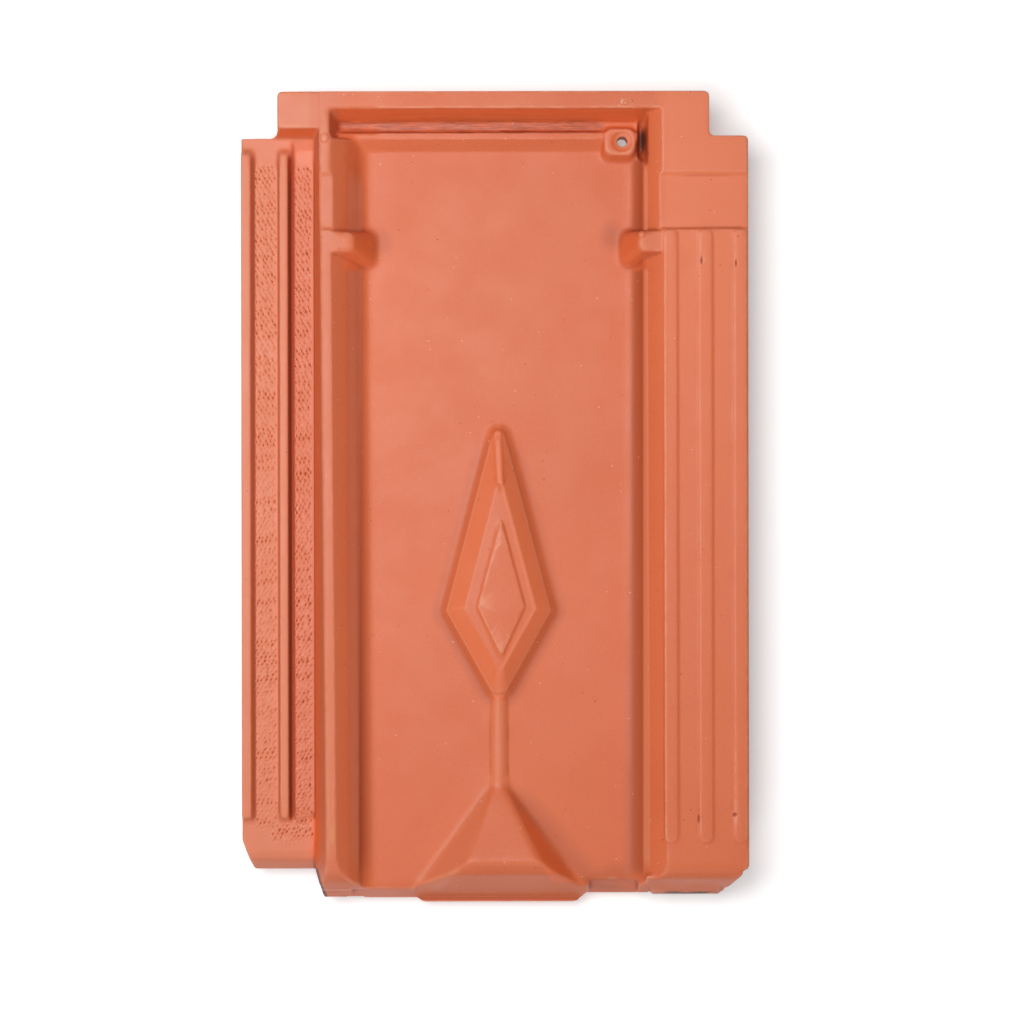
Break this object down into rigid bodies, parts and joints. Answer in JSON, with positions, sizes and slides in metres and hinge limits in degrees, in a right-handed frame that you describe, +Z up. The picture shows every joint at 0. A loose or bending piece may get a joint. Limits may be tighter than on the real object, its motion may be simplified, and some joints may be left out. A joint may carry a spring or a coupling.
{
  "type": "clay roof tile",
  "caption": "Interlocking clay roof tile with a sunken pan, ribbed side underlap, overlapping flange, head groove, nail boss, stop nibs, and a diamond and pyramid in relief.",
  "frame": {"origin": "centre of the tile's outline, on the surface that it lies on", "axes": "X across the tile towards the flange, Y along the tile towards the head, Z up out of the weather face"},
  "size_m": [0.262, 0.42, 0.0398],
  "materials": {
    "fired_clay": "satin"
  },
  "bodies": {
    "root": {"roof_tile": "fired_clay"}
  },
  "joints": []
}
